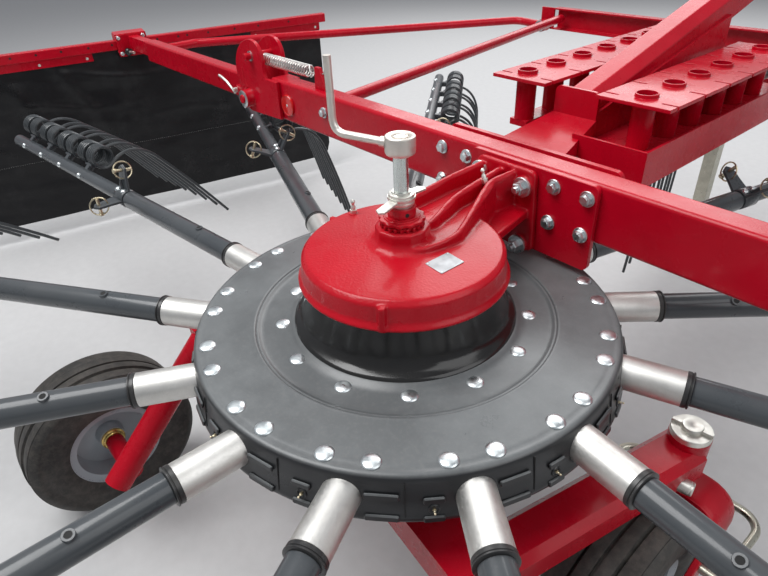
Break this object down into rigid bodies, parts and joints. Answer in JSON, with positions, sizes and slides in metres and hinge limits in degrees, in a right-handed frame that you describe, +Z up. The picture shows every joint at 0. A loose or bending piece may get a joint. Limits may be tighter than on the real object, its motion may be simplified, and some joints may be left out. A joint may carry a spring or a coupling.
{
  "type": "single rotor rotary rake",
  "caption": "Towed hay rake in working position: one rotor of radial arms with spring tines under a red frame, side curtain, storage racks and small wheels.",
  "frame": {"origin": "on the ground, under the middle of the machine's bounding box", "axes": "+X to the machine's right, +Y in the direction of travel, +Z up"},
  "size_m": [4.288, 4.004, 1.3032],
  "materials": {
    "red_paint": "gloss red paint",
    "black_cover": "satin black",
    "bare_aluminium": "brushed",
    "black_plastic": "matt",
    "grey_paint": "satin dark grey paint",
    "tine_steel": "satin dark coating",
    "zinc_steel": "zinc plated",
    "black_tarpaulin": "coated cloth",
    "rim_grey": "satin grey paint",
    "tyre": "worn rubber"
  },
  "bodies": {
    "frame": {"column": "black_cover", "gear_cover": "red_paint", "mount_plate": "red_paint", "spindle": "zinc_steel", "crank": "zinc_steel", "cross_beam": "red_paint", "main_beam": "red_paint", "tray": "red_paint", "drawbar": "red_paint", "rack_left": "red_paint", "rack_right": "red_paint", "front_member": "red_paint", "headstock": "red_paint", "drive_tube": "black_plastic", "input_box": "red_paint", "hinge_plates": "red_paint", "spring_anchor": "red_paint", "spring": "zinc_steel", "guard_tubes": "red_paint", "chassis": "red_paint", "stand_sleeve": "red_paint"},
    "rotor": {"rotor_disc": "black_cover", "rotor_drum": "black_cover", "arm_stubs": "bare_aluminium", "arm_collars": "black_plastic", "tine_arms": "grey_paint", "tines": "tine_steel"},
    "input_shaft": {"input_shaft": "zinc_steel"},
    "curtain_arm": {"curtain_arm": "red_paint", "fold_guard": "red_paint"},
    "curtain_frame": {"curtain_rail": "red_paint", "curtain": "black_tarpaulin"},
    "stand": {"stand": "red_paint"},
    "wheel_rear_left": {"tyre_rear_left": "tyre", "rim_rear_left": "rim_grey"},
    "wheel_rear_right": {"tyre_rear_right": "tyre", "rim_rear_right": "rim_grey"},
    "wheel_front_left": {"tyre_front_left": "tyre", "rim_front_left": "rim_grey"},
    "wheel_front_right": {"tyre_front_right": "tyre", "rim_front_right": "rim_grey"},
    "castor_front_left": {"fork_front_left": "red_paint", "hoop_front_left": "zinc_steel"},
    "castor_front_right": {"fork_front_right": "red_paint", "hoop_front_right": "zinc_steel"}
  },
  "joints": [
    {"name": "rotor_spin", "type": "hinge", "parent": "frame", "child": "rotor", "pos_m": [0.3446, -0.19805, 0.643], "axis": [0, 0, 1], "continuous": true},
    {"name": "input_spin", "type": "hinge", "parent": "frame", "child": "input_shaft", "pos_m": [0.2676, 1.86195, 0.79], "axis": [0, 1, 0], "continuous": true},
    {"name": "curtain_fold", "type": "hinge", "parent": "frame", "child": "curtain_arm", "pos_m": [-0.7604, 0.13695, 0.798], "axis": [0, 1, 0], "range_deg": [0, 75]},
    {"name": "curtain_slide", "type": "slide", "parent": "curtain_arm", "child": "curtain_frame", "axis": [-1, 0, 0], "range_m": [-0.15, 0.25]},
    {"name": "stand_slide", "type": "slide", "parent": "frame", "child": "stand", "axis": [0, 0, 1], "range_m": [0, 0.4]},
    {"name": "castor_front_left_swivel", "type": "hinge", "parent": "frame", "child": "castor_front_left", "pos_m": [-0.1054, 0.07195, 0.464], "axis": [0, 0, 1], "continuous": true},
    {"name": "wheel_front_left_spin", "type": "hinge", "parent": "castor_front_left", "child": "wheel_front_left", "pos_m": [-0.1054, -0.07505, 0.205], "axis": [1, 0, 0], "continuous": true},
    {"name": "castor_front_right_swivel", "type": "hinge", "parent": "frame", "child": "castor_front_right", "pos_m": [0.7946, 0.07195, 0.464], "axis": [0, 0, 1], "continuous": true},
    {"name": "wheel_front_right_spin", "type": "hinge", "parent": "castor_front_right", "child": "wheel_front_right", "pos_m": [0.7946, -0.07505, 0.205], "axis": [1, 0, 0], "continuous": true},
    {"name": "wheel_rear_left_spin", "type": "hinge", "parent": "frame", "child": "wheel_rear_left", "pos_m": [-0.2864, -0.67405, 0.205], "axis": [1, 0, 0], "continuous": true},
    {"name": "wheel_rear_right_spin", "type": "hinge", "parent": "frame", "child": "wheel_rear_right", "pos_m": [0.9756, -0.67405, 0.205], "axis": [1, 0, 0], "continuous": true}
  ],
  "couplings": [
    {"joint": "input_spin", "follows": "rotor_spin", "ratio": 7}
  ]
}
